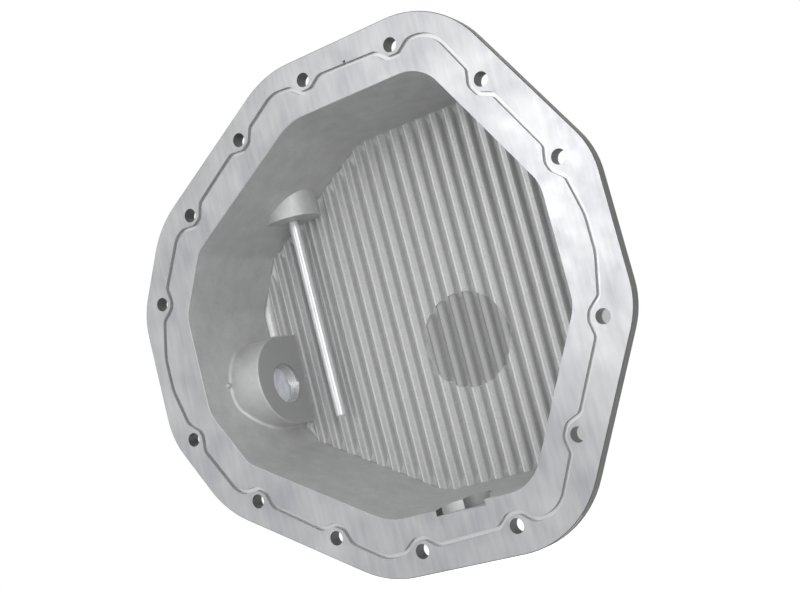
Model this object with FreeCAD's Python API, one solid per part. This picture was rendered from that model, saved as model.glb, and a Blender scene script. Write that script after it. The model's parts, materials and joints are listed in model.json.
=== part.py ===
import FreeCAD, Part
import math
import os

V = FreeCAD.Vector
os.makedirs("parts", exist_ok=True)

# Differential cover, millimetres. The mating face is the plane Y = 0 and the cover
# grows along +Y, away from the axle housing. +Z is up, as the dipstick hangs.
# The bolt pattern is centred on the origin. The casting is alike above and below
# Z = 0, apart from its bosses.

# Bolt holes of the upper half, right to left. The first and last are the pair whose
# mirror images make the pattern's four-hole rectangle. The fourth is on X = 0.
HOLE_D = 9.8
HOLES = ((160.8, 50.2), (125.2, 113.9), (70.0, 158.9), (0.0, 161.5),
         (-62.1, 140.8), (-118.1, 103.9), (-160.8, 50.2))

# Margins between the cavity mouth and the bolts beside it.
MARGIN_TOP = 22.9
MARGIN_RIGHT = 16.0
MARGIN_LEFT = 19.0
MARGIN_TOP_RIGHT_X = 17.3
MARGIN_RIGHT_Z = 11.5
MARGIN_TOP_LEFT_X = 42.9
MARGIN_SHOULDER_X = 0.7
MARGIN_SHOULDER_Z = 26.6
MARGIN_LEFT_Z = 14.5

# Cavity mouth: its straight sides and corners, by their margins from the bolts.
MOUTH_HALF_HEIGHT = HOLES[3][1] - MARGIN_TOP
MOUTH_RIGHT = HOLES[0][0] - MARGIN_RIGHT
MOUTH_LEFT = HOLES[0][0] - MARGIN_LEFT
TOP_RIGHT_X = HOLES[2][0] + MARGIN_TOP_RIGHT_X
RIGHT_Z = HOLES[0][1] - MARGIN_RIGHT_Z
TOP_LEFT_X = HOLES[4][0] + MARGIN_TOP_LEFT_X
SHOULDER_X = HOLES[5][0] - MARGIN_SHOULDER_X
SHOULDER_Z = HOLES[5][1] - MARGIN_SHOULDER_Z
LEFT_Z = HOLES[6][1] - MARGIN_LEFT_Z
MOUTH_R = (27.0, 29.5, 43.0, 17.0, 26.0)

# Flange.
LAND = 38.2
FLANGE_T = 10.8
FLANGE_R = (56.0, 67.0, 72.0, 72.0, 56.0)
FLANGE_BACK_EDGE = 2.0
FLANGE_FRONT_EDGE = 0.5

# Seal groove: it follows the bolt line and steps inward round each hole.
GROOVE_W = 2.8
GROOVE_D = 2.4
GROOVE_WEB = 1.8
STEP_TOP = 8.4
STEP_BASE = 25.0
STEP_R = 6.0
LINE_INSET = 1.3
BEND_RIGHT = (167.4, 12.0, 40.0)
BEND_TOP = (99.5, 158.2, 22.0)
BEND_TOP_LEFT = (-27.5, 160.9, 18.0)
BEND_SHOULDER = (-134.0, 92.6, 15.0)
BEND_LEFT = (-168.7, 12.0, 40.0)
NOTCH_X = 34.2
NOTCH_R = 1.1

# Walls and floor.
CAVITY_D = 86.0
WALL_T = 6.5
FLOOR_T = 7.0
DRAFT = 6.0
FLOOR_R = 8.0
BACK_EDGE = 10.0
ROOT_EDGE = 3.0

# Ribs inside, parallel to Z.
RIB_PITCH = 11.24
RIB_X0 = 3.1
RIB_TOP = 6.6
RIB_BASE = 8.2
RIB_H = 5.0
RIB_SHOULDER = (1.4, 0.8)
RELIEF_X = 29.0
RELIEF_Z = -31.2
RELIEF_R = 33.7
RELIEF_CUT = 1.6

# Fins outside, parallel to Z.
FIN_PITCH = 16.0
FIN_TOP = 3.6
FIN_BASE = 5.6
FIN_H = 10.0
FIN_SHOULDER = (0.8, 0.8)
FIN_MARGIN = 1.0

# Clearances and seats.
THREAD_GAP = 0.1
ROD_GAP = 0.6
HEAD_GAP = 1.5

# Dipstick, its axis along Z, placed from the cavity's shoulder and floor.
STICK_INSET = 40.4
STICK_OFF_FLOOR = 18.2
STICK_FACE_RISE = 11.6
STICK_X = SHOULDER_X + STICK_INSET
STICK_Y = CAVITY_D - STICK_OFF_FLOOR
STICK_FACE_Z = SHOULDER_Z + STICK_FACE_RISE
STICK_BOSS_L = 29.1
STICK_THREAD_D = 16.0
STICK_THREAD_L = 16.0
STICK_BOSS_WALL = 13.4
STICK_BOSS_R = STICK_THREAD_D / 2 + STICK_BOSS_WALL
STICK_TOP_Z = STICK_FACE_Z + STICK_BOSS_L
ROD_D = 7.4
ROD_REACH = 148.4
ROD_TIP_Z = STICK_FACE_Z - ROD_REACH
ROD_TIP_EDGE = 1.4
ROD_IN_CAP = 9.0
SEAL_W = 2.4
SEAL_H = 1.9
CAP_HEX_OVER = 6.0
CAP_COLLAR_OVER = 5.0
CAP_HEX = STICK_THREAD_D + CAP_HEX_OVER
CAP_COLLAR_D = CAP_HEX + CAP_COLLAR_OVER
CAP_COLLAR_H = 3.0
CAP_HEAD_H = 9.0

# Filler boss and plug, axis along X, on the left wall.
FILL_Z = -25.2
FILL_OFF_FLOOR = 27.8
FILL_Y = CAVITY_D - FILL_OFF_FLOOR
FILL_BORE_D = 29.6
FILL_ARCH_OFF_FLOOR = 25.5
FILL_ARCH_RISE = 3.0
FILL_ARCH_WALL = 18.5
FILL_ARCH_Y = CAVITY_D - FILL_ARCH_OFF_FLOOR
FILL_ARCH_Z = FILL_Z + FILL_ARCH_RISE
FILL_ARCH_R = FILL_BORE_D / 2 + FILL_ARCH_WALL
FILL_FACE_REACH = 31.6
FILL_FACE_X = FILL_FACE_REACH - MOUTH_LEFT
FILL_FACE_TILT = 3.0
FILL_RIM_R = 1.0
FILL_ROOT_R = 2.0
FILL_OUT_REACH = 14.2
FILL_OUT_WALL = 9.2
FILL_PLUG_INSET = 9.3
FILL_HEAD_OVER = 10.4
FILL_OUT_X = -MOUTH_LEFT - FILL_OUT_REACH
FILL_OUT_R = FILL_BORE_D / 2 + FILL_OUT_WALL
FILL_PLUG_END_X = FILL_FACE_X - FILL_PLUG_INSET
FILL_HEAD_D = FILL_BORE_D + FILL_HEAD_OVER
FILL_HEAD_H = 6.0
FILL_SOCKET = 17.0
FILL_SOCKET_L = 10.0
WASHER_T = 2.0
PLUG_LEAD = 1.0
NUB_Y = 25.4
NUB_Z = -17.6
NUB_R = 2.6
NUB_H = 1.8

# Drain well and plug, axis along Z, in the bottom wall.
DRAIN_X = 34.8
WELL_R = 19.5
WELL_Y = 7.6
WELL_STEP = 3.6
DRAIN_BORE_D = 20.0
DRAIN_OUT = 15.4
DRAIN_BOSS_WALL = 7.0
DRAIN_HEAD_OVER = 8.0
DRAIN_BOSS_R = DRAIN_BORE_D / 2 + DRAIN_BOSS_WALL
DRAIN_HEAD_D = DRAIN_BORE_D + DRAIN_HEAD_OVER
DRAIN_HEAD_H = 5.0
DRAIN_SOCKET = 12.0
DRAIN_SOCKET_L = 8.0

TAPER = math.tan(math.radians(DRAFT))
BACK_Y = CAVITY_D + FLOOR_T
EYE = 0.5


def mirror_half(half):
    """Close an upper half outline, right to left, with its lower mirror image."""
    lower = [(x, -z, r) for x, z, r in reversed(half)]
    return list(half) + lower


def mouth_corners():
    half = [(MOUTH_RIGHT, RIGHT_Z, MOUTH_R[0]),
            (TOP_RIGHT_X, MOUTH_HALF_HEIGHT, MOUTH_R[1]),
            (TOP_LEFT_X, MOUTH_HALF_HEIGHT, MOUTH_R[2]),
            (SHOULDER_X, SHOULDER_Z, MOUTH_R[3]),
            (-MOUTH_LEFT, LEFT_Z, MOUTH_R[4])]
    return mirror_half(half)


def grown(corners, distance, radii=None):
    """Move every straight side outward; counter-clockwise corners as (x, z, r)."""
    count = len(corners)
    out = []
    for i in range(count):
        x0, z0, _ = corners[i - 1]
        x1, z1, r1 = corners[i]
        x2, z2, _ = corners[(i + 1) % count]
        a = V(x1 - x0, z1 - z0, 0).normalize()
        b = V(x2 - x1, z2 - z1, 0).normalize()
        na = V(a.y, -a.x, 0)
        nb = V(b.y, -b.x, 0)
        k = distance / (1 + na.dot(nb))
        r = max(r1 + distance, EYE) if radii is None else radii[min(i, count - 1 - i)]
        out.append((x1 + k * (na.x + nb.x), z1 + k * (na.y + nb.y), r))
    return out


def rounded_wire(corners, y):
    """Wire of straight sides and tangent arcs, in the plane Y = y."""
    count = len(corners)
    cuts = []
    for i in range(count):
        x0, z0, _ = corners[i - 1]
        x1, z1, r = corners[i]
        x2, z2, _ = corners[(i + 1) % count]
        p = V(x1, y, z1)
        a = (V(x0, y, z0) - p).normalize()
        b = (V(x2, y, z2) - p).normalize()
        half = a.getAngle(b) / 2
        t = r / math.tan(half)
        mid = (a + b).normalize() * (r / math.sin(half) - r)
        cuts.append((p + a * t, p + mid, p + b * t))
    edges = []
    for i in range(count):
        edges.append(Part.Arc(*cuts[i]).toShape())
        edges.append(Part.makeLine(cuts[i][2], cuts[(i + 1) % count][0]))
    return Part.Wire(edges)


def plate(corners, y0, y1):
    face = Part.Face(rounded_wire(corners, y0))
    return face.extrude(V(0, y1 - y0, 0))


def tapered(corners, y0, y1):
    """Drafted solid: the outline is the one at Y = 0 and shrinks along +Y."""
    rings = [rounded_wire(grown(corners, -TAPER * y), y) for y in (y0, y1)]
    return Part.makeLoft(rings, True, True)


def edges_in_plane(shape, y):
    found = []
    for e in shape.Edges:
        box = e.BoundBox
        if abs(box.YMin - y) < 1e-3 and abs(box.YMax - y) < 1e-3:
            found.append(e)
    return found


def edges_between(shape, a, b):
    """Edges of the shape whose middle lies on the skins of both solids."""
    found = []
    skins = [s.Shells[0] for s in (a, b)]
    for e in shape.Edges:
        middle = Part.Vertex(e.valueAt((e.FirstParameter + e.LastParameter) / 2))
        if all(middle.distToShape(skin)[0] < 1e-2 for skin in skins):
            found.append(e)
    return found


def joined(shape, boss, wall, radius):
    """Fuse a boss and round the corner between it and the wall's skin."""
    shape = shape.fuse(boss).removeSplitter()
    return shape.makeFillet(radius, edges_between(shape, boss, wall))


def all_holes():
    lower = [(x, -z) for x, z in HOLES]
    return list(HOLES) + lower


def flange():
    body = plate(grown(mouth_corners(), LAND, FLANGE_R), 0, FLANGE_T)
    body = body.makeChamfer(FLANGE_BACK_EDGE, edges_in_plane(body, FLANGE_T))
    return body.makeChamfer(FLANGE_FRONT_EDGE, edges_in_plane(body, 0))


def outer_solid():
    """The housing's outside as a full solid: drafted walls and a sloped back edge."""
    corners = grown(mouth_corners(), WALL_T)
    sides = [(0, 0), (BACK_Y - BACK_EDGE, 0), (BACK_Y, BACK_EDGE)]
    rings = [rounded_wire(grown(corners, -TAPER * y - inset), y) for y, inset in sides]
    return Part.makeLoft(rings, True, True)


def cavity():
    body = tapered(mouth_corners(), 0, CAVITY_D)
    body = body.makeFillet(FLOOR_R, edges_in_plane(body, CAVITY_D))
    mouth = plate(mouth_corners(), -EYE, 0)
    return body.fuse(mouth)


def bar_profile(base, top, height, shoulder, y_base, y_sign):
    """Rib section in the XY plane: a trapezoid with sloped shoulders, (width, drop)."""
    width, drop = shoulder
    half = [(base / 2, y_base), (top / 2, y_base + y_sign * (height - drop)),
            (top / 2 - width, y_base + y_sign * height)]
    outline = half + [(-x, y) for x, y in reversed(half)] + half[:1]
    return Part.Face(Part.makePolygon([V(x, y, 0) for x, y in outline]))


def bar_row(face, pitch, x0, x_low, x_high, half_length):
    """Copies of one bar along X, each running the full height along Z."""
    face = face.copy()
    face.translate(V(0, 0, -half_length))
    bar = face.extrude(V(0, 0, 2 * half_length))
    first = math.ceil((x_low - x0) / pitch)
    last = math.floor((x_high - x0) / pitch)
    bars = []
    for n in range(first, last + 1):
        copy = bar.copy()
        copy.translate(V(x0 + n * pitch, 0, 0))
        bars.append(copy)
    return Part.makeCompound(bars)


def ribs(inside):
    """Ribs on the floor, trimmed to the cavity and lowered in the round relief."""
    y_root = CAVITY_D + FLOOR_T / 2
    floor_inset = TAPER * CAVITY_D + FLOOR_R / 3
    relief = Part.makeCylinder(RELIEF_R, 2 * RIB_H + FLOOR_T / 2,
                               V(RELIEF_X, CAVITY_D - 2 * RIB_H, RELIEF_Z), V(0, 1, 0))
    rows = []
    for height in (RIB_H, RIB_H - RELIEF_CUT):
        face = bar_profile(RIB_BASE, RIB_TOP, height + FLOOR_T / 2, RIB_SHOULDER, y_root, -1)
        rows.append(bar_row(face, RIB_PITCH, RIB_X0, floor_inset - MOUTH_LEFT,
                            MOUTH_RIGHT - floor_inset, MOUTH_HALF_HEIGHT))
    high = rows[0].common(inside).cut(relief)
    return [high, rows[1].common(relief)]


def fins():
    """Cooling fins on the back, their ends sloped inside a tapered envelope."""
    face = bar_profile(FIN_BASE, FIN_TOP, FIN_H + FLOOR_T / 2, FIN_SHOULDER,
                       BACK_Y - FLOOR_T / 2, 1)
    back = grown(mouth_corners(), WALL_T - TAPER * BACK_Y - BACK_EDGE - FIN_MARGIN)
    tip = grown(back, -FIN_H)
    envelope = Part.makeLoft([rounded_wire(back, BACK_Y - FLOOR_T / 2),
                              rounded_wire(tip, BACK_Y + FIN_H)], True, True)
    inset = TAPER * BACK_Y + BACK_EDGE + FIN_BASE
    row = bar_row(face, FIN_PITCH, 0.0, inset - MOUTH_LEFT, MOUTH_RIGHT - inset,
                  MOUTH_HALF_HEIGHT)
    return row.common(envelope)


def step_points(hole, before, after):
    """Four groove corners that carry the line round the inner side of one hole."""
    c = V(hole[0], hole[1], 0)
    t0 = (c - V(before[0], before[1], 0)).normalize()
    t1 = (V(after[0], after[1], 0) - c).normalize()
    n0 = V(-t0.y, t0.x, 0)
    n1 = V(-t1.y, t1.x, 0)
    off = HOLE_D / 2 + GROOVE_WEB + GROOVE_W / 2
    points = [c - t0 * (STEP_BASE / 2) + n0 * LINE_INSET,
              c - t0 * (STEP_TOP / 2) + n0 * off,
              c + t1 * (STEP_TOP / 2) + n1 * off,
              c + t1 * (STEP_BASE / 2) + n1 * LINE_INSET]
    return [(p.x, p.y, STEP_R) for p in points]


def groove_corners():
    h = HOLES
    line = [BEND_RIGHT, h[0], h[1], BEND_TOP, h[2], h[3], BEND_TOP_LEFT, h[4], h[5],
            BEND_SHOULDER, h[6], BEND_LEFT]
    half = []
    for i, point in enumerate(line):
        if len(point) == 3:
            half.append(point)
        else:
            half.extend(step_points(point, line[i - 1], line[i + 1]))
    return mirror_half(half)


def seal_groove():
    """Groove solid: the band between two offsets of the centre line."""
    centre = rounded_wire(groove_corners(), 0)
    outer = Part.Face(centre.makeOffset2D(GROOVE_W / 2))
    inner = Part.Face(centre.makeOffset2D(-GROOVE_W / 2))
    band = outer.cut(inner).extrude(V(0, GROOVE_D, 0))
    notch = Part.makeCylinder(NOTCH_R, GROOVE_D, V(NOTCH_X, 0, HOLES[3][1] - LINE_INSET + NOTCH_R),
                              V(0, 1, 0))
    return band.fuse(notch)


def stick_boss():
    return Part.makeCylinder(STICK_BOSS_R, STICK_TOP_Z - STICK_FACE_Z,
                             V(STICK_X, STICK_Y, STICK_FACE_Z), V(0, 0, 1))


def stick_bore():
    guide = Part.makeCylinder(ROD_D / 2 + ROD_GAP, STICK_TOP_Z - STICK_FACE_Z,
                              V(STICK_X, STICK_Y, STICK_FACE_Z), V(0, 0, 1))
    thread = Part.makeCylinder(STICK_THREAD_D / 2, STICK_THREAD_L + HEAD_GAP,
                               V(STICK_X, STICK_Y, STICK_TOP_Z - STICK_THREAD_L - HEAD_GAP),
                               V(0, 0, 1))
    return guide.fuse(thread)


def fill_arch():
    """Arch boss on the floor, its end face tilted by the casting's draft."""
    y_end = CAVITY_D + FLOOR_T / 2
    x0 = -MOUTH_LEFT - WALL_T
    low = V(x0, FILL_ARCH_Y, FILL_ARCH_Z - FILL_ARCH_R)
    high = V(x0, FILL_ARCH_Y, FILL_ARCH_Z + FILL_ARCH_R)
    top = V(x0, FILL_ARCH_Y - FILL_ARCH_R, FILL_ARCH_Z)
    low_end = V(x0, y_end, low.z)
    high_end = V(x0, y_end, high.z)
    edges = [Part.Arc(low, top, high).toShape(), Part.makeLine(high, high_end),
             Part.makeLine(high_end, low_end), Part.makeLine(low_end, low)]
    length = FILL_FACE_X - x0 + FILL_FACE_TILT
    body = Part.Face(Part.Wire(edges)).extrude(V(length, 0, 0))
    size = 4 * FILL_ARCH_R
    trim = Part.makeBox(size, size, size, V(0, -size / 2, -size / 2))
    trim.rotate(V(0, 0, 0), V(0, 0, 1), -FILL_FACE_TILT)
    trim.translate(V(FILL_FACE_X, CAVITY_D - RIB_H, FILL_ARCH_Z))
    body = body.cut(trim)
    rim = []
    for e in body.Edges:
        box = e.BoundBox
        if box.XMin > FILL_FACE_X - FILL_ARCH_R and box.YMax < y_end + 1e-3:
            if box.XMax - box.XMin < box.YLength + box.ZLength and box.YMin < y_end - 1:
                rim.append(e)
    return body.makeFillet(FILL_RIM_R, rim)


def along_x(radius, x0, x1, y, z):
    return Part.makeCylinder(radius, abs(x1 - x0), V(min(x0, x1), y, z), V(1, 0, 0))


def fill_outer_boss():
    return along_x(FILL_OUT_R, FILL_OUT_X, -MOUTH_LEFT + TAPER * FILL_Y - EYE, FILL_Y, FILL_Z)


def fill_bore():
    return along_x(FILL_BORE_D / 2, FILL_OUT_X, FILL_FACE_X + FILL_ARCH_R, FILL_Y, FILL_Z)


def wall_nub():
    x = -MOUTH_LEFT + TAPER * NUB_Y
    return Part.makeCone(NUB_R, NUB_R * 0.6, NUB_H + EYE, V(x - EYE, NUB_Y, NUB_Z), V(1, 0, 0))


def drain_y():
    return FLANGE_T + HEAD_GAP + DRAIN_HEAD_D / 2


def drain_boss():
    z_in = -MOUTH_HALF_HEIGHT + TAPER * drain_y()
    z_out = -MOUTH_HALF_HEIGHT - DRAIN_OUT
    return Part.makeCylinder(DRAIN_BOSS_R, z_in - z_out - EYE, V(DRAIN_X, drain_y(), z_out),
                             V(0, 0, 1))


def drain_cuts():
    floor_z = -MOUTH_HALF_HEIGHT - WELL_STEP
    well = Part.makeCylinder(WELL_R, WELL_STEP + WALL_T + FLOOR_R, V(DRAIN_X, WELL_Y, floor_z),
                             V(0, 0, 1))
    front = Part.makeBox(2 * WELL_R, WELL_R, WELL_STEP + WALL_T + FLOOR_R,
                         V(DRAIN_X - WELL_R, -WELL_R, floor_z))
    well = well.cut(front)
    bore = Part.makeCylinder(DRAIN_BORE_D / 2, DRAIN_OUT + WALL_T + FLOOR_R,
                             V(DRAIN_X, drain_y(), -MOUTH_HALF_HEIGHT - DRAIN_OUT), V(0, 0, 1))
    return well.fuse(bore)


def bolt_holes():
    drills = []
    for x, z in all_holes():
        drills.append(Part.makeCylinder(HOLE_D / 2, FLANGE_T + 2 * EYE, V(x, -EYE, z), V(0, 1, 0)))
    return drills


def root_skirt():
    """Sloped root round the walls, where they leave the back of the flange."""
    reach = WALL_T - TAPER * FLANGE_T + ROOT_EDGE
    rings = []
    for y in (FLANGE_T - ROOT_EDGE, FLANGE_T + 2 * ROOT_EDGE):
        rings.append(rounded_wire(grown(mouth_corners(), reach + FLANGE_T - y), y))
    return Part.makeLoft(rings, True, True)


def cover_casting():
    outside = outer_solid()
    hollow = cavity()
    walls = joined(outside.cut(hollow), fill_arch().common(outside), hollow, FILL_ROOT_R)
    rim = flange().fuse(root_skirt()).cut(hollow)
    shell = walls.fuse([rim, stick_boss(), fill_outer_boss(), drain_boss(), wall_nub()])
    shell = shell.fuse(ribs(outside))
    shell = shell.fuse(fins())
    shell = shell.cut([fill_bore(), stick_bore(), drain_cuts(), seal_groove()])
    shell = shell.cut(bolt_holes())
    return shell.removeSplitter()


def ring(outer_r, inner_r, height, base, axis):
    body = Part.makeCylinder(outer_r, height, base, axis)
    return body.cut(Part.makeCylinder(inner_r, height, base, axis))


def hexagon(across_flats, length, base, axis):
    """Hexagonal prism along an axis."""
    r = across_flats / math.sqrt(3)
    points = []
    for i in range(7):
        a = math.radians(60 * i)
        points.append(V(r * math.cos(a), r * math.sin(a), 0))
    prism = Part.Face(Part.makePolygon(points)).extrude(V(0, 0, length))
    prism.Placement = FreeCAD.Placement(base, FreeCAD.Rotation(V(0, 0, 1), axis))
    return prism


def dipstick_rod():
    top = STICK_TOP_Z + ROD_IN_CAP
    rod = Part.makeCylinder(ROD_D / 2, top - ROD_TIP_Z, V(STICK_X, STICK_Y, ROD_TIP_Z), V(0, 0, 1))
    tip = [e for e in rod.Edges if abs(e.BoundBox.ZMax - ROD_TIP_Z) < 1e-3]
    return rod.makeChamfer(ROD_TIP_EDGE, tip)


def seal_ring():
    """Square ring in a gland under the cap's collar."""
    return ring(STICK_THREAD_D / 2 + SEAL_W, STICK_THREAD_D / 2 - THREAD_GAP, SEAL_H,
                V(STICK_X, STICK_Y, STICK_TOP_Z), V(0, 0, 1))


def crowned(head_r, corner_r, base, height):
    """Turned envelope that takes the upper corners off a hexagon."""
    drop = (corner_r - head_r) * 0.8
    skirt = Part.makeCylinder(corner_r, height - drop, base, V(0, 0, 1))
    crown = Part.makeCone(corner_r, head_r, drop, base + V(0, 0, height - drop), V(0, 0, 1))
    return skirt.fuse(crown)


def dipstick_cap():
    up = V(0, 0, 1)
    seat = V(STICK_X, STICK_Y, STICK_TOP_Z)
    shank = Part.makeCylinder(STICK_THREAD_D / 2 - THREAD_GAP, STICK_THREAD_L,
                              seat - up * STICK_THREAD_L, up)
    collar = Part.makeCylinder(CAP_COLLAR_D / 2, CAP_COLLAR_H, seat, up)
    top = seat + up * CAP_COLLAR_H
    head = hexagon(CAP_HEX, CAP_HEAD_H, top, up)
    head = head.common(crowned(CAP_HEX / 2 - 0.4, CAP_HEX / math.sqrt(3) + 0.1, top, CAP_HEAD_H))
    body = shank.fuse([collar, head]).cut(seal_ring())
    hole = Part.makeCylinder(ROD_D / 2, STICK_THREAD_L + ROD_IN_CAP, seat - up * STICK_THREAD_L, up)
    return body.cut(hole).removeSplitter()


def socket_plug(shank_r, shank_l, head_r, head_h, socket, socket_l, seat, axis):
    """Threaded plug: the axis points out of the casting, the seat is under its head."""
    shank = Part.makeCylinder(shank_r, shank_l + WASHER_T, seat - axis * shank_l, axis)
    inner = [e for e in shank.Edges
             if (e.BoundBox.Center - (seat - axis * shank_l)).Length < 1e-3]
    shank = shank.makeChamfer(PLUG_LEAD, inner)
    head = Part.makeCylinder(head_r, head_h, seat + axis * WASHER_T, axis)
    key = hexagon(socket, socket_l, seat + axis * (WASHER_T + head_h - socket_l), axis)
    return shank.fuse(head).cut(key).removeSplitter()


def fill_seat():
    return V(FILL_OUT_X, FILL_Y, FILL_Z)


def drain_seat():
    return V(DRAIN_X, drain_y(), -MOUTH_HALF_HEIGHT - DRAIN_OUT)


def fill_plug():
    return socket_plug(FILL_BORE_D / 2 - THREAD_GAP, FILL_PLUG_END_X - FILL_OUT_X,
                       FILL_HEAD_D / 2, FILL_HEAD_H, FILL_SOCKET, FILL_SOCKET_L, fill_seat(),
                       V(-1, 0, 0))


def fill_washer():
    return ring(FILL_HEAD_D / 2, FILL_BORE_D / 2, WASHER_T, fill_seat(), V(-1, 0, 0))


def drain_plug():
    length = DRAIN_OUT - WELL_STEP
    return socket_plug(DRAIN_BORE_D / 2 - THREAD_GAP, length, DRAIN_HEAD_D / 2, DRAIN_HEAD_H,
                       DRAIN_SOCKET, DRAIN_SOCKET_L, drain_seat(), V(0, 0, -1))


def drain_washer():
    return ring(DRAIN_HEAD_D / 2, DRAIN_BORE_D / 2, WASHER_T, drain_seat(), V(0, 0, -1))


NODES = {
    "cover_casting": cover_casting,
    "dipstick_rod": dipstick_rod,
    "dipstick_cap": dipstick_cap,
    "dipstick_seal": seal_ring,
    "fill_plug": fill_plug,
    "fill_washer": fill_washer,
    "drain_plug": drain_plug,
    "drain_washer": drain_washer,
}

for name, make in NODES.items():
    shape = make()
    shape.exportStep("parts/" + name + ".step")
    print(name, len(shape.Solids), shape.isValid(), round(shape.Volume))
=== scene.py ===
import json
import math

import bmesh
import bpy
from mathutils import Matrix, Vector


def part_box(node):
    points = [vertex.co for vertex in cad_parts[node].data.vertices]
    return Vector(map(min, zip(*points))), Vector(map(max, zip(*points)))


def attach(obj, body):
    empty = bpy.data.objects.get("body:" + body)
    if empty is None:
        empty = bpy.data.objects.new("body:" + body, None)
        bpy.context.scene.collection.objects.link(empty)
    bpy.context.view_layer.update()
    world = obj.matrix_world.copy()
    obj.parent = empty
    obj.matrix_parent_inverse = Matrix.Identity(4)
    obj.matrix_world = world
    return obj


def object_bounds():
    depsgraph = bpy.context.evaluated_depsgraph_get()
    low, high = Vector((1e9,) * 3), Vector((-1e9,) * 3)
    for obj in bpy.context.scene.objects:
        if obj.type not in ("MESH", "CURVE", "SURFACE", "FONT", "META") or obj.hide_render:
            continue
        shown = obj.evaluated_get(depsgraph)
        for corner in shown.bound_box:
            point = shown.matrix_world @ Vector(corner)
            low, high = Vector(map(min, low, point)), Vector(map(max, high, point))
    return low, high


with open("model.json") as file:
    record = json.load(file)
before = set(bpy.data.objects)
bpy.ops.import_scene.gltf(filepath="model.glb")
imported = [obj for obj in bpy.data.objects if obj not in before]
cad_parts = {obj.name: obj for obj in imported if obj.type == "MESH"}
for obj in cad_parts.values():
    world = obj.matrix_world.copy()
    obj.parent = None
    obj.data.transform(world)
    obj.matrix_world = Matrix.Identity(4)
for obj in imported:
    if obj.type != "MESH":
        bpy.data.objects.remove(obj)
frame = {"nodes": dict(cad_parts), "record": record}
CAD_LOW, CAD_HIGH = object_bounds()
PLUG_LOW, PLUG_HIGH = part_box("fill_plug")

MM = 0.001

# Camera, as the photograph was taken: place in metres and its own three axes.
CAMERA_PLACE = Vector((0.4314, -0.7277, -0.1113))
CAMERA_RIGHT = Vector((0.83211, 0.49606, -0.24802))
CAMERA_UP = Vector((0.28002, 0.01023, 0.95994))
CAMERA_BACK = Vector((0.47873, -0.86823, -0.13040))
LENS = 58.27
SENSOR = 36.0

# Flange: depths from the mating face, and the seal groove's land beyond the mouth.
FACE_SKIN = 1.0 * MM
GROOVE_DEPTH = 2.6 * MM
FLANGE_DEPTH = 10.8 * MM
MOUTH_EDGE = 0.9 * MM
LAND_INNER = 8.0 * MM
LAND_OUTER = 34.0 * MM
BORE_SKIN = 0.25 * MM

# Upper half of the bowl's mouth in millimetres, right to left: corners as (x, z).
MOUTH_HALF = ((144.8, 38.7), (87.3, 138.6), (-19.2, 138.6), (-118.8, 77.3), (-141.8, 35.7))
BOWL_INSET = -8.2 * MM

# Ribs and the round relief on the bowl's floor.
FLOOR_SKIN_Y = 86.3 * MM
RIB_TOP_Y = 81.0 * MM
RIB_TOP_ABOVE = 0.4 * MM
RIB_TOP_BELOW = 0.9 * MM
RIB_PITCH = 11.24 * MM
RIB_TOP_LEFT = 1.2 * MM
# Width of the painted highlight along each rib top's left edge.
PAINTED_HIGHLIGHT_WIDTH = 0.7 * MM
RELIEF_AXIS = Vector((29.0 * MM, 0, -31.2 * MM))
RELIEF_R = 33.7 * MM
RELIEF_FADE = (4.0 * MM, 1.5 * MM)
RELIEF_STEP = 0.3 * MM
RELIEF_VALLEY_Y = 83.0 * MM
# Across each rib in the relief: where the painted shade on its right side grows, and where it
# stops.
RELIEF_SHADE_SPAN = (2.6 * MM, 4.6 * MM)
RELIEF_SHADE_END = 0.7 * RIB_PITCH

# Filler boss, its bore and the thread between the plug's end and the boss's face.
FILL_R = 14.8 * MM
FILL_AXIS = (PLUG_LOW + PLUG_HIGH) / 2
FILL_PLUG_END = PLUG_HIGH.x
FILL_FACE = -110.2 * MM
FILL_FACE_BAND = 3.0 * MM
FILL_BOSS_R = 45.0 * MM
FILL_FACE_TILT = math.radians(3)
THREAD_PITCH = 1.5 * MM
THREAD_DEPTH = 0.55 * MM
THREAD_START = 0.9 * MM
THREAD_SINK = 0.02 * MM
THREAD_CREST = 0.5
THREAD_CLOSE = 0.94
THREAD_STEPS = 72

# Drain bore in the bottom wall.
WELL_TOP = -128.0 * MM
DRAIN_AXIS = Vector((34.8 * MM, 26.3 * MM, 0))
DRAIN_R = 10.0 * MM
DRAIN_SHADE = 0.6

# Limits on one part of the surface's direction, which tell the casting's surfaces apart.
MILLED_Y = -0.9
RIB_FLAT_Y = -0.95
FLANGE_SIDE_Y = -0.8
GROOVE_WALL_Y = -0.6
STEP_WALL_Y = -0.5
SHOULDER_X = 0.3
FLANK_X = 0.6
BOSS_FACE_X = 0.99

# Grey levels of the casting's finishes, and of the light, shade and highlights painted on it. A
# pair is the range that a noise spreads over.
CAST = (0.47, 0.60)
# The filler boss's face: painted darker than the walls that face the same way.
BOSS_FACE_DARKER = (0.38, 0.46)
# Painted light on the rib flanks that face the right, which lie in shade.
FLANK_PAINTED_LIGHT = 0.68
# Painted shade on the floor between the ribs.
VALLEY_PAINTED_SHADE = 0.48
# Raw rib tops in the relief, and the painted shade on their right side.
RELIEF_TOP_AND_SHADE = (0.385, 0.20)
# Painted light on the relief's rib flanks that face the right.
RELIEF_FLANK_PAINTED_LIGHT = 0.52
# Painted shade on the floor between the relief's ribs.
RELIEF_VALLEY_PAINTED_SHADE = 0.31
RIB_TOP = (0.36, 0.47)
# Painted highlight along the left edge of each fly-cut rib top.
RIB_TOP_PAINTED_HIGHLIGHT = 0.60
# Painted shade on the flange's outer band.
BAND_PAINTED_SHADE = (0.09, 0.13)
# Painted shade on the ribs' right shoulders.
SHOULDER_PAINTED_SHADE = 0.40
# Painted highlight on the ribs' left shoulders and on the bowl mouth's inner edge.
EDGE_PAINTED_HIGHLIGHT = 0.95
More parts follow.
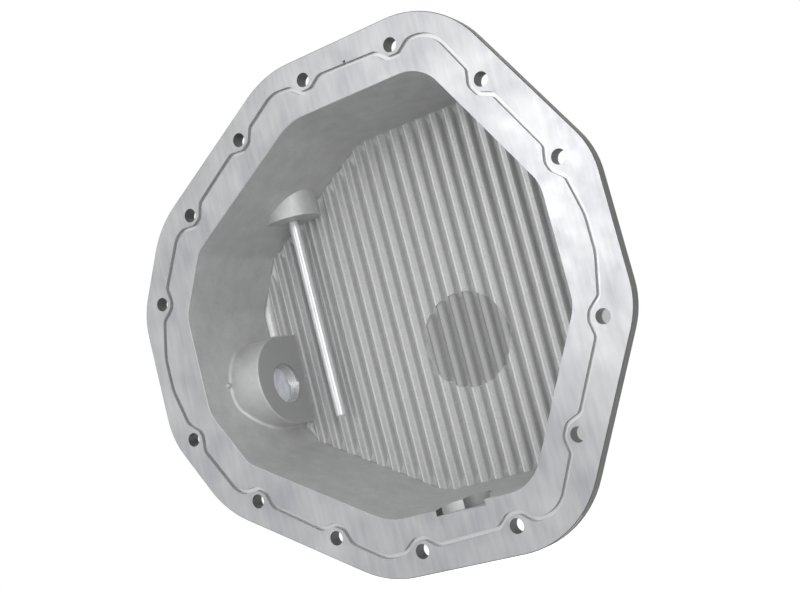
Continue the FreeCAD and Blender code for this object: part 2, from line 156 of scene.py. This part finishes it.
# Painted light on the step wall round the relief, which lies in shade.
STEP_PAINTED_LIGHT = 0.80
# Painted shade in the bolt holes and the drain bore.
HOLE_PAINTED_SHADE = 0.15
GROOVE = 0.48
FACE = (0.30, 0.44)

# Studio: world strength from the left to the right, the floor and the lamps.
WORLD_COLOUR = (0.95, 0.97, 1.0, 1)
WORLD_RANGE = (0.17, 0.72)
FLOOR_GAP = 0.10
FLOOR_HALF = 12.0
FLOOR_GREY = (0.60, 0.60, 0.60, 1)
FLOOR_GLOW = 0.78
WHITE = (1, 1, 1, 1)
LAMPS = (
    ("key_box", (-0.8, -0.95, 1.1), (0.9, 0.9), 2.6),
    ("front_box", (-0.25, -1.2, 0.28), (0.50, 0.55), 2.3),
    ("left_box", (-1.15, -1.2, 0.15), (0.5, 0.9), 0.6),
    ("fill_box", (1.12, -0.95, 0.12), (0.9, 0.9), 8.6),
    ("back_box", (-0.4, 1.3, 0.7), (1.0, 1.0), 5.0),
)


class Graph:
    """A short way to write a shader: each call adds nodes and returns an output."""

    def __init__(self, name):
        self.material = bpy.data.materials.new(name)
        self.material.use_nodes = True
        self.tree = self.material.node_tree
        self.tree.nodes.clear()
        self.where = self.node("ShaderNodeTexCoord").outputs["Object"]
        self.normal = self.node("ShaderNodeNewGeometry").outputs["True Normal"]

    def node(self, kind, **settings):
        made = self.tree.nodes.new(kind)
        for key, value in settings.items():
            setattr(made, key, value)
        return made

    def put(self, socket, value):
        if isinstance(value, bpy.types.NodeSocket):
            self.tree.links.new(value, socket)
        else:
            socket.default_value = value

    def math(self, operation, *values):
        made = self.node("ShaderNodeMath", operation=operation)
        for socket, value in zip(made.inputs, values):
            self.put(socket, value)
        return made.outputs[0]

    def under(self, value, limit):
        return self.math("LESS_THAN", value, limit)

    def over(self, value, limit):
        return self.math("GREATER_THAN", value, limit)

    def both(self, first, *more):
        """1 where every mask is 1."""
        for mask in more:
            first = self.math("MULTIPLY", first, mask)
        return first

    def either(self, a, b):
        return self.math("MAXIMUM", a, b)

    def inverse(self, mask):
        return self.math("SUBTRACT", 1.0, mask)

    def share(self, a, share_a, b, share_b):
        """The sum of two noises, each by its share."""
        return self.math("ADD", self.math("MULTIPLY", a, share_a),
                         self.math("MULTIPLY", b, share_b))

    def axis(self, vector, index):
        made = self.node("ShaderNodeSeparateXYZ")
        self.put(made.inputs[0], vector)
        return made.outputs[index]

    def join(self, x, y, z):
        made = self.node("ShaderNodeCombineXYZ")
        for socket, value in zip(made.inputs, (x, y, z)):
            self.put(socket, value)
        return made.outputs[0]

    def vectors(self, operation, a, b, output="Value"):
        made = self.node("ShaderNodeVectorMath", operation=operation)
        self.put(made.inputs[0], a)
        self.put(made.inputs[1], b)
        return made.outputs[output]

    def stretched(self, factors):
        """The object's coordinates, scaled apart along X, Y and Z."""
        return self.vectors("MULTIPLY", self.where, factors, "Vector")

    def folded(self):
        """The object's X and Z, with the lower half folded onto the upper one."""
        return self.join(self.axis(self.where, 0), 0.0,
                         self.math("ABSOLUTE", self.axis(self.where, 2)))

    def radius(self, axis_index, centre):
        """Distance from an axis through centre that runs along X, Y or Z."""
        parts = [self.axis(self.where, i) for i in range(3)]
        parts[axis_index] = 0.0
        flat = Vector(centre)
        flat[axis_index] = 0.0
        return self.vectors("DISTANCE", self.join(*parts), flat)

    def noise(self, scale, detail=3.0, roughness=0.55, where=None):
        made = self.node("ShaderNodeTexNoise")
        self.put(made.inputs["Vector"], where or self.where)
        made.inputs["Scale"].default_value = scale
        made.inputs["Detail"].default_value = detail
        made.inputs["Roughness"].default_value = roughness
        return made.outputs["Fac"]

    def cells(self, scale):
        made = self.node("ShaderNodeTexVoronoi")
        self.put(made.inputs["Vector"], self.where)
        made.inputs["Scale"].default_value = scale
        return made.outputs["Distance"]

    def ramp(self, value, low, high, out_low=0.0, out_high=1.0):
        made = self.node("ShaderNodeMapRange")
        for socket, v in zip(made.inputs, (value, low, high, out_low, out_high)):
            self.put(socket, v)
        return made.outputs[0]

    def mixed(self, data_type, sockets, output, values):
        made = self.node("ShaderNodeMix", data_type=data_type)
        for index, value in zip(sockets, values):
            self.put(made.inputs[index], value)
        return made.outputs[output]

    def mix(self, factor, a, b):
        return self.mixed("RGBA", (0, 6, 7), 2, (factor, a, b))

    def blend(self, factor, a, b):
        return self.mixed("FLOAT", (0, 2, 3), 0, (factor, a, b))

    def lean(self, factor, a, b):
        return self.mixed("VECTOR", (0, 4, 5), 1, (factor, a, b))

    def bump(self, height, depth):
        made = self.node("ShaderNodeBump")
        made.inputs["Distance"].default_value = depth
        self.put(made.inputs["Height"], height)
        return made.outputs[0]

    def surface(self, colour, roughness, metallic, normal):
        shader = self.node("ShaderNodeBsdfPrincipled")
        self.put(shader.inputs["Base Color"], colour)
        self.put(shader.inputs["Roughness"], roughness)
        self.put(shader.inputs["Metallic"], metallic)
        self.put(shader.inputs["Normal"], normal)
        out = self.node("ShaderNodeOutputMaterial")
        self.tree.links.new(shader.outputs[0], out.inputs["Surface"])
        return self.material


def grey(value, blue=0.0):
    return (value, value * (1 + blue * 0.3), value * (1 + blue), 1)


def bolt_places():
    """Bolt hole centres on the upper half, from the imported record's mounts."""
    places = []
    for mount in frame["record"]["mounts"]:
        if mount["kind"] != "bolt_pattern":
            continue
        x, _, z = mount["pos_m"]
        dims = mount["dims"]
        half_z = dims["spacing_y_mm"] / 2 * MM
        half_x = dims.get("spacing_x_mm", 0) / 2 * MM
        for side in {-half_x, half_x}:
            places.append((x + side, z + half_z, dims["hole_r_mm"] * MM))
    return places


def near_bolts(g):
    """Distance to the nearest bolt hole's wall, the cover being alike above and below."""
    point = g.folded()
    nearest = None
    for x, z, r in bolt_places():
        gap = g.math("SUBTRACT", g.vectors("DISTANCE", point, (x, 0, z)), r)
        nearest = gap if nearest is None else g.math("MINIMUM", nearest, gap)
    return nearest


def beyond_mouth(g):
    """How far a point lies outside the straight sides of the bowl's mouth."""
    point = g.folded()
    corners = [(MOUTH_HALF[0][0], 0.0), *MOUTH_HALF, (MOUTH_HALF[-1][0], 0.0)]
    furthest = None
    for (x0, z0), (x1, z1) in zip(corners, corners[1:]):
        side = Vector((z1 - z0, 0, x0 - x1)).normalized()
        reach = (side.x * x0 + side.z * z0) * MM
        gap = g.math("SUBTRACT", g.vectors("DOT_PRODUCT", point, side), reach)
        furthest = gap if furthest is None else g.math("MAXIMUM", furthest, gap)
    return furthest


def machined_mask(g):
    """1 on the faces that are milled or bored, 0 where the casting is left as it was."""
    face = g.both(g.under(g.axis(g.normal, 1), MILLED_Y),
                  g.under(g.axis(g.where, 1), GROOVE_DEPTH))
    fill = g.both(g.under(g.radius(0, FILL_AXIS), FILL_R + BORE_SKIN),
                  g.under(g.axis(g.where, 0), FILL_FACE + THREAD_PITCH))
    return g.either(face, fill)


def drilled_and_groove(g, away):
    """Painted shade in the bolt holes and the drain bore, and the seal groove's walls."""
    y = g.axis(g.where, 1)
    gap = near_bolts(g)
    bolts = g.both(g.under(gap, BORE_SKIN), g.under(y, FLANGE_DEPTH))
    drain = g.both(g.under(g.radius(2, DRAIN_AXIS), DRAIN_R + BORE_SKIN),
                   g.under(g.axis(g.where, 2), WELL_TOP))
    groove = g.both(g.over(away, LAND_INNER), g.under(away, LAND_OUTER),
                    g.over(g.axis(g.normal, 1), GROOVE_WALL_Y),
                    g.under(y, GROOVE_DEPTH), g.over(gap, BORE_SKIN))
    return g.either(bolts, g.math("MULTIPLY", drain, DRAIN_SHADE)), groove


def rib_masks(g, away):
    """Fly-cut rib tops with a painted highlight on their left edge and painted shade on their
    right, the flanks with painted light, the floor between the ribs with painted shade, and the
    round relief, where the ribs keep their raw skin, with painted shade on their right side and in
    its valleys, and painted light on its flanks and step wall."""
    y = g.axis(g.where, 1)
    x_normal = g.axis(g.normal, 0)
    y_normal = g.axis(g.normal, 1)
    across = g.math("FLOORED_MODULO", g.math("SUBTRACT", g.axis(g.where, 0), RIB_TOP_LEFT),
                    RIB_PITCH)
    radius = g.radius(1, RELIEF_AXIS)
    near = g.under(radius, RELIEF_R)
    outside = g.inverse(near)
    fading = g.ramp(radius, RELIEF_R - RELIEF_FADE[0], RELIEF_R + RELIEF_FADE[1], 1.0, 0.0)
    towards = g.under(y_normal, RIB_FLAT_Y)
    bowl = g.both(g.under(away, BOWL_INSET), g.under(y, FLOOR_SKIN_Y))
    zone = g.both(g.over(y, RIB_TOP_Y - RIB_TOP_ABOVE), g.under(y, RIB_TOP_Y + RIB_TOP_BELOW),
                  outside, bowl)
    top = g.both(zone, towards)
    low = g.both(g.over(y, RIB_TOP_Y + RIB_TOP_BELOW), bowl)
    facing = g.both(low, g.over(x_normal, FLANK_X))
    valley = g.both(g.over(y, RELIEF_VALLEY_Y), bowl, towards)
    return {
        "top": top,
        # Left edge of each rib top: painted highlight.
        "top_left_highlight": g.both(top, g.under(across, PAINTED_HIGHLIGHT_WIDTH)),
        # Left shoulders of the rib tops: painted highlight.
        "left": g.both(zone, g.under(y, RIB_TOP_Y + RIB_TOP_ABOVE), g.under(x_normal, -SHOULDER_X)),
        # Right shoulders of the rib tops: painted shade.
        "right": g.both(zone, g.over(x_normal, SHOULDER_X)),
        # Rib flanks facing the right: painted light.
        "flank_light": g.both(facing, outside),
        # Floor between the ribs: painted shade.
        "valley": valley,
        "relief": g.both(near, low, g.inverse(valley)),
        # Right side of each relief rib: painted shade.
        "relief_right_shade": g.both(g.ramp(across, *RELIEF_SHADE_SPAN), g.under(across, RELIEF_SHADE_END)),
        # Relief rib flanks facing the right: painted light.
        "relief_flank_light": g.both(facing, near),
        # Floor between the relief's ribs: painted shade, fading out at its edge.
        "relief_valley_shade": g.both(fading, valley),
        # Step wall round the relief: painted light.
        "step": g.both(g.math("COMPARE", radius, RELIEF_R, RELIEF_STEP),
                       g.over(y_normal, STEP_WALL_Y), bowl),
    }


def faced_mask(g):
    """The filler boss's face, cut flat square to its bore."""
    return g.both(g.under(g.radius(0, FILL_AXIS), FILL_BOSS_R),
                  g.math("COMPARE", g.axis(g.where, 0), FILL_FACE, FILL_FACE_BAND),
                  g.over(g.axis(g.normal, 0), BOSS_FACE_X))


def edge_masks(g):
    """The flange's outer band, painted dark as shade, and the bowl mouth's inner edge, painted
    bright as a highlight.
    """
    y = g.axis(g.where, 1)
    sideways = g.over(g.axis(g.normal, 1), FLANGE_SIDE_Y)
    outward = g.vectors("DOT_PRODUCT", g.normal, g.stretched((1, 0, 1)))
    out = g.over(outward, 0.0)
    band = g.both(g.under(y, FLANGE_DEPTH), sideways, out)
    # Inner edge of the bowl's mouth: painted highlight.
    mouth = g.both(sideways, g.inverse(out), g.under(y, MOUTH_EDGE))
    return band, mouth


def cast_colour(g, masks, patch, grain, sand):
    """The raw casting's colour, then that of each place with a finish of its own or with painted
    light, shade or highlight.
    """
    tone = g.ramp(g.share(patch, 0.4, grain, 0.6), 0.36, 0.64)
    top_tone = g.ramp(g.share(grain, 0.5, sand, 0.5), 0.38, 0.62)
    layers = (
        (faced_mask(g), g.mix(grain, grey(BOSS_FACE_DARKER[0]), grey(BOSS_FACE_DARKER[1]))),
        (masks["flank_light"], grey(FLANK_PAINTED_LIGHT)),
        (masks["valley"], grey(VALLEY_PAINTED_SHADE)),
        (masks["relief"],
         g.mix(masks["relief_right_shade"], grey(RELIEF_TOP_AND_SHADE[0]), grey(RELIEF_TOP_AND_SHADE[1]))),
        (masks["relief_flank_light"], grey(RELIEF_FLANK_PAINTED_LIGHT)),
        (masks["relief_valley_shade"], grey(RELIEF_VALLEY_PAINTED_SHADE)),
        (masks["top"], g.mix(top_tone, grey(RIB_TOP[0], 0.01), grey(RIB_TOP[1], 0.01))),
        (masks["top_left_highlight"], grey(RIB_TOP_PAINTED_HIGHLIGHT, 0.01)),
        (masks["band"], g.mix(patch, grey(BAND_PAINTED_SHADE[0], -0.08), grey(BAND_PAINTED_SHADE[1], -0.06))),
        (masks["right"], grey(SHOULDER_PAINTED_SHADE)),
        (g.either(masks["left"], masks["mouth"]), grey(EDGE_PAINTED_HIGHLIGHT)),
        (masks["step"], grey(STEP_PAINTED_LIGHT)),
        (masks["drilled"], grey(HOLE_PAINTED_SHADE)),
        (masks["groove"], grey(GROOVE)),
    )
    colour = g.mix(tone, grey(CAST[0]), grey(CAST[1]))
    for mask, finish in layers:
        colour = g.mix(mask, colour, finish)
    return colour


def casting_material():
    g = Graph("cast_and_milled")
    away = beyond_mouth(g)
    milled = machined_mask(g)
    masks = rib_masks(g, away)
    masks["drilled"], masks["groove"] = drilled_and_groove(g, away)
    masks["band"], masks["mouth"] = edge_masks(g)

    broad = g.noise(22, 2)
    patch = g.noise(90, 3)
    grain = g.noise(1500, 4, 0.65)
    sand = g.noise(520, 3, 0.6)
    pits = g.ramp(g.cells(620), 0.0, 0.22)
    streak = g.noise(1.0, 3, 0.6, g.stretched((240, 60, 30)))

    raw_colour = cast_colour(g, masks, patch, grain, sand)
    raw_rough = g.ramp(sand, 0.3, 0.7, 0.46, 0.62)
    raw_rough = g.blend(g.either(masks["top"], masks["left"]), raw_rough, 0.36)
    raw_height = g.math("ADD", g.math("MULTIPLY", grain, 0.5), g.share(sand, 0.7, pits, 0.25))

    face_tone = g.ramp(g.share(broad, 0.65, streak, 0.35), 0.36, 0.66)
    face_colour = g.mix(face_tone, grey(FACE[0], 0.07), grey(FACE[1], 0.02))
    y = g.axis(g.where, 1)
    sunk = g.both(milled, g.over(y, FACE_SKIN), g.under(y, GROOVE_DEPTH))
    face_colour = g.mix(sunk, face_colour, grey(GROOVE, 0.02))
    face_rough = g.ramp(patch, 0.3, 0.7, 0.28, 0.36)
    face_height = g.math("ADD", streak, g.math("MULTIPLY", grain, 0.1))

    # The painted highlight on the ribs' left shoulders has almost no metal, so its pale colour
    # shows.
    metallic = g.blend(masks["left"], g.blend(milled, 0.45, 0.92), 0.1)
    normal = g.lean(milled, g.bump(raw_height, 0.16 * MM), g.bump(face_height, 0.012 * MM))
    return g.surface(g.mix(milled, raw_colour, face_colour),
                     g.blend(milled, raw_rough, face_rough), metallic, normal)


def rod_material():
    g = Graph("bright_rod")
    drawn = g.noise(1.0, 3, 0.6, g.stretched((900, 900, 40)))
    tone = g.share(drawn, 0.6, g.noise(120, 3), 0.4)
    colour = g.mix(g.ramp(tone, 0.35, 0.65), grey(0.66, 0.01), grey(0.78, 0.01))
    rough = g.ramp(tone, 0.3, 0.7, 0.10, 0.18)
    return g.surface(colour, rough, 0.22, g.bump(drawn, 0.006 * MM))


def turned_material(name, light, dark, axis_index, centre, blue=0.0, rough=0.32, metallic=0.95):
    """Turned metal: fine rings round one axis under a slightly uneven tone."""
    g = Graph(name)
    r = g.radius(axis_index, centre)
    rings = g.noise(1.0, 2, 0.5, g.join(g.math("MULTIPLY", r, 3200), 0.0, 0.0))
    patch = g.noise(160, 3)
    tone = g.share(rings, 0.4, patch, 0.6)
    colour = g.mix(g.ramp(tone, 0.35, 0.65), grey(dark, blue), grey(light, blue))
    roughness = g.ramp(patch, 0.3, 0.7, rough - 0.06, rough + 0.08)
    return g.surface(colour, roughness, metallic, g.bump(rings, 0.015 * MM))


def rubber_material():
    g = Graph("seal_rubber")
    grain = g.noise(900, 3)
    colour = g.mix(grain, grey(0.018), grey(0.035))
    return g.surface(colour, g.ramp(grain, 0.3, 0.7, 0.55, 0.72), 0.0, g.bump(grain, 0.03 * MM))


def dress(node, material):
    mesh = frame["nodes"][node].data
    mesh.materials.clear()
    mesh.materials.append(material)


def node_axis(node):
    low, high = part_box(node)
    return (low + high) / 2


def dress_nodes():
    stick = node_axis("dipstick_cap")
    fill = node_axis("fill_plug")
    drain = node_axis("drain_plug")
    dress("cover_casting", casting_material())
    dress("dipstick_rod", rod_material())
    dress("dipstick_cap", turned_material("turned_cap", 0.72, 0.60, 2, stick))
    dress("dipstick_seal", rubber_material())
    dress("fill_plug", turned_material("zinc_fill_plug", 1.0, 0.66, 0, fill, 0.08, 0.40, 0.35))
    dress("fill_washer", turned_material("fill_washer_metal", 0.74, 0.64, 0, fill))
    dress("drain_plug", turned_material("zinc_drain_plug", 0.60, 0.46, 2, drain, 0.10, 0.36))
    dress("drain_washer", turned_material("drain_washer_metal", 0.74, 0.64, 2, drain))


def fill_thread():
    """Thread between the plug's end and the filler boss's face: one helical ridge, whose
    first turn runs out against the plug."""
    start = FILL_PLUG_END - THREAD_START
    end = FILL_FACE - FILL_R * math.tan(FILL_FACE_TILT) * 2
    turns = int((end - start) / THREAD_PITCH)
    profile = [(0.0, 0.0), (THREAD_PITCH * THREAD_CREST, -THREAD_DEPTH),
               (THREAD_PITCH * THREAD_CLOSE, 0.0)]
    bm = bmesh.new()
    rows = []
    for i in range(turns * THREAD_STEPS + 1):
        angle = 2 * math.pi * i / THREAD_STEPS
        x = start + THREAD_PITCH * i / THREAD_STEPS
        row = []
        for dx, dr in profile:
            place = x + dx
            r = FILL_R + dr - THREAD_SINK
            if dx == 0.0 and i < THREAD_STEPS:
                place = FILL_PLUG_END - THREAD_DEPTH
                r = FILL_R - THREAD_DEPTH
            row.append(bm.verts.new((place, FILL_AXIS.y + r * math.cos(angle),
                                     FILL_AXIS.z + r * math.sin(angle))))
        rows.append(row)
    for a, b in zip(rows, rows[1:]):
        for i in range(len(profile) - 1):
            bm.faces.new((a[i], a[i + 1], b[i + 1], b[i]))
        bm.faces.new((a[-1], a[0], b[0], b[-1]))
    for end_row in (rows[0], rows[-1]):
        bm.faces.new(end_row)
    bmesh.ops.recalc_face_normals(bm, faces=bm.faces)
    mesh = bpy.data.meshes.new("fill_bore_thread")
    bm.to_mesh(mesh)
    bm.free()
    piece = bpy.data.objects.new("fill_bore_thread", mesh)
    bpy.context.scene.collection.objects.link(piece)
    mesh.materials.append(turned_material("cut_thread", 0.62, 0.50, 0, FILL_AXIS, 0.02, 0.32, 0.25))
    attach(piece, "root")


def white_where_seen(tree):
    """1 for camera, glossy and transmission rays, which see the white background."""
    path = tree.nodes.new("ShaderNodeLightPath")
    total = path.outputs["Is Camera Ray"]
    for name in ("Is Glossy Ray", "Is Transmission Ray"):
        add = tree.nodes.new("ShaderNodeMath")
        add.operation = "MAXIMUM"
        tree.links.new(total, add.inputs[0])
        tree.links.new(path.outputs[name], add.inputs[1])
        total = add.outputs[0]
    return total


def make_world():
    """Soft light that grows from the left to the right, behind a white background."""
    world = bpy.data.worlds.new("studio")
    bpy.context.scene.world = world
    world.use_nodes = True
    tree = world.node_tree
    tree.nodes.clear()
    lit = tree.nodes.new("ShaderNodeBackground")
    lit.inputs["Color"].default_value = WORLD_COLOUR
    way = tree.nodes.new("ShaderNodeTexCoord")
    split = tree.nodes.new("ShaderNodeSeparateXYZ")
    tree.links.new(way.outputs["Generated"], split.inputs[0])
    fade = tree.nodes.new("ShaderNodeMapRange")
    for socket, value in zip(list(fade.inputs)[1:5], (-1.0, 1.0, *WORLD_RANGE)):
        socket.default_value = value
    tree.links.new(split.outputs[0], fade.inputs[0])
    tree.links.new(fade.outputs[0], lit.inputs["Strength"])
    seen = tree.nodes.new("ShaderNodeBackground")
    seen.inputs["Color"].default_value = WHITE
    seen.inputs["Strength"].default_value = 1.0
    mix = tree.nodes.new("ShaderNodeMixShader")
    out = tree.nodes.new("ShaderNodeOutputWorld")
    tree.links.new(white_where_seen(tree), mix.inputs[0])
    tree.links.new(lit.outputs[0], mix.inputs[1])
    tree.links.new(seen.outputs[0], mix.inputs[2])
    tree.links.new(mix.outputs[0], out.inputs[0])


def make_floor():
    """Pale floor under the hung cover; its shadow stays."""
    level = CAD_LOW.z - FLOOR_GAP
    half = FLOOR_HALF
    mesh = bpy.data.meshes.new("studio_floor")
    mesh.from_pydata([(-half, -half, level), (half, -half, level), (half, half, level),
                      (-half, half, level)], [], [(0, 1, 2, 3)])
    floor = bpy.data.objects.new("studio_floor", mesh)
    bpy.context.scene.collection.objects.link(floor)
    material = bpy.data.materials.new("pale_floor")
    material.use_nodes = True
    tree = material.node_tree
    tree.nodes.clear()
    diffuse = tree.nodes.new("ShaderNodeBsdfDiffuse")
    diffuse.inputs["Color"].default_value = FLOOR_GREY
    glow = tree.nodes.new("ShaderNodeEmission")
    glow.inputs["Color"].default_value = WHITE
    strength = tree.nodes.new("ShaderNodeMath")
    strength.operation = "MULTIPLY"
    strength.inputs[1].default_value = FLOOR_GLOW
    tree.links.new(white_where_seen(tree), strength.inputs[0])
    tree.links.new(strength.outputs[0], glow.inputs["Strength"])
    add = tree.nodes.new("ShaderNodeAddShader")
    out = tree.nodes.new("ShaderNodeOutputMaterial")
    tree.links.new(diffuse.outputs[0], add.inputs[0])
    tree.links.new(glow.outputs[0], add.inputs[1])
    tree.links.new(add.outputs[0], out.inputs[0])
    mesh.materials.append(material)


def make_lamps():
    """Soft boxes, each turned to the middle of the cover."""
    for name, place, size, power in LAMPS:
        lamp = bpy.data.lights.new(name, "AREA")
        lamp.shape = "RECTANGLE"
        lamp.size, lamp.size_y = size
        lamp.energy = power
        holder = bpy.data.objects.new(name, lamp)
        holder.location = place
        aim = (CAD_LOW + CAD_HIGH) / 2 - Vector(place)
        holder.rotation_mode = "QUATERNION"
        holder.rotation_quaternion = aim.to_track_quat("-Z", "Y")
        bpy.context.scene.collection.objects.link(holder)


def make_camera():
    data = bpy.data.cameras.new("photo_camera")
    data.lens = LENS
    data.sensor_width = SENSOR
    data.sensor_fit = "HORIZONTAL"
    data.clip_start = 0.01
    data.clip_end = 50
    camera = bpy.data.objects.new("photo_camera", data)
    bpy.context.scene.collection.objects.link(camera)
    columns = (CAMERA_RIGHT, CAMERA_UP, CAMERA_BACK)
    turn = Matrix([[c[i] for c in columns] for i in range(3)]).to_4x4()
    camera.matrix_world = Matrix.Translation(CAMERA_PLACE) @ turn
    bpy.context.scene.camera = camera


bpy.context.scene.view_settings.view_transform = "Standard"
dress_nodes()
fill_thread()
make_world()
make_floor()
make_lamps()
make_camera()
